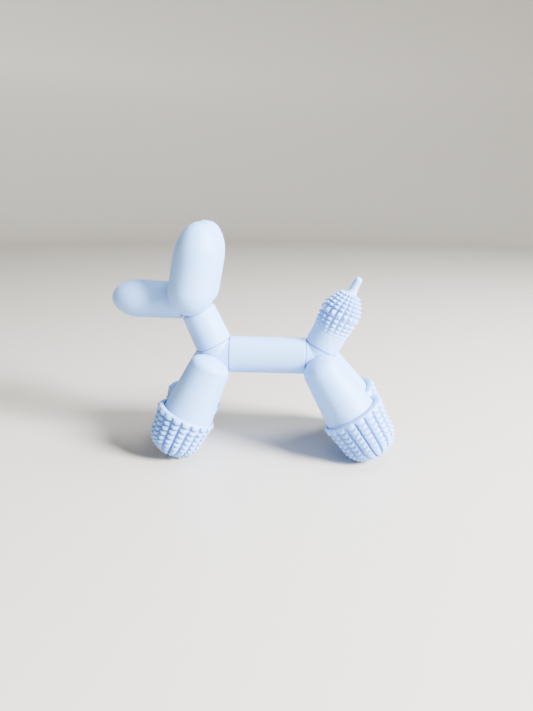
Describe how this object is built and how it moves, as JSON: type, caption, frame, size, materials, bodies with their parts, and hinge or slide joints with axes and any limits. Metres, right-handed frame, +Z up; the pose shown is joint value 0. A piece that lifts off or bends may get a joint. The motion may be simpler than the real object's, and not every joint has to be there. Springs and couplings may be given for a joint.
{
  "type": "twist figure puzzle",
  "caption": "Standing dog figure of rounded lobes that twist against one another at head, shoulders and hips, with ribbed feet and a knobbed tail.",
  "frame": {"origin": "on the standing surface, under the middle of the figure's bounding box", "axes": "+X from nose to tail, +Z up, -Y is the figure's own left"},
  "size_m": [0.1194, 0.0494, 0.0979],
  "materials": {
    "smooth_lobe": "matte powder blue, soft-touch moulding",
    "ribbed_boot": "matte powder blue, moulded ribs",
    "knobbed_tail": "matte powder blue, moulded pyramids",
    "hub_nylon": "natural moulded nylon, tinted blue",
    "pin_acetal": "smooth acetal",
    "bush_acetal": "smooth acetal",
    "ring_rubber": "black rubber"
  },
  "bodies": {
    "torso": {"torso": "smooth_lobe", "bush_torso_front": "bush_acetal", "bush_torso_rear": "bush_acetal"},
    "shoulders": {"shoulder_hub": "hub_nylon", "front_leg_left": "smooth_lobe", "front_leg_right": "smooth_lobe", "front_boot_left": "ribbed_boot", "front_boot_right": "ribbed_boot", "swivel_pin_torso_front": "pin_acetal", "friction_ring_torso_front": "ring_rubber", "swivel_pin_neck_lower": "pin_acetal", "friction_ring_neck_lower": "ring_rubber"},
    "neck": {"neck": "smooth_lobe", "bush_neck_lower": "bush_acetal", "bush_neck_upper": "bush_acetal"},
    "head": {"head_hub": "hub_nylon", "ear_left": "smooth_lobe", "ear_right": "smooth_lobe", "swivel_pin_neck_upper": "pin_acetal", "friction_ring_neck_upper": "ring_rubber", "swivel_pin_muzzle": "pin_acetal", "friction_ring_muzzle": "ring_rubber"},
    "muzzle": {"muzzle": "smooth_lobe", "bush_muzzle": "bush_acetal"},
    "hips": {"hip_hub": "hub_nylon", "rear_leg_left": "smooth_lobe", "rear_leg_right": "smooth_lobe", "rear_boot_left": "ribbed_boot", "rear_boot_right": "ribbed_boot", "swivel_pin_torso_rear": "pin_acetal", "friction_ring_torso_rear": "ring_rubber", "swivel_pin_tail": "pin_acetal", "friction_ring_tail": "ring_rubber"},
    "tail": {"tail": "knobbed_tail", "bush_tail": "bush_acetal"}
  },
  "joints": [
    {"name": "torso_front_twist", "type": "hinge", "parent": "torso", "child": "shoulders", "pos_m": [-0.0151, 0, 0.0421], "axis": [0.9999, 0, -0.0119], "continuous": true},
    {"name": "neck_lower_twist", "type": "hinge", "parent": "shoulders", "child": "neck", "pos_m": [-0.0151, 0, 0.0421], "axis": [-0.4069, 0, 0.9135], "continuous": true},
    {"name": "neck_upper_twist", "type": "hinge", "parent": "neck", "child": "head", "pos_m": [-0.0253, 0, 0.065], "axis": [-0.4069, 0, 0.9135], "continuous": true},
    {"name": "muzzle_twist", "type": "hinge", "parent": "head", "child": "muzzle", "pos_m": [-0.0253, 0, 0.065], "axis": [-0.9991, 0, 0.0426], "continuous": true},
    {"name": "torso_rear_twist", "type": "hinge", "parent": "torso", "child": "hips", "pos_m": [0.0269, 0, 0.0416], "axis": [0.9999, 0, -0.0119], "continuous": true},
    {"name": "tail_twist", "type": "hinge", "parent": "hips", "child": "tail", "pos_m": [0.0269, 0, 0.0416], "axis": [0.4482, 0, 0.8939], "continuous": true}
  ]
}
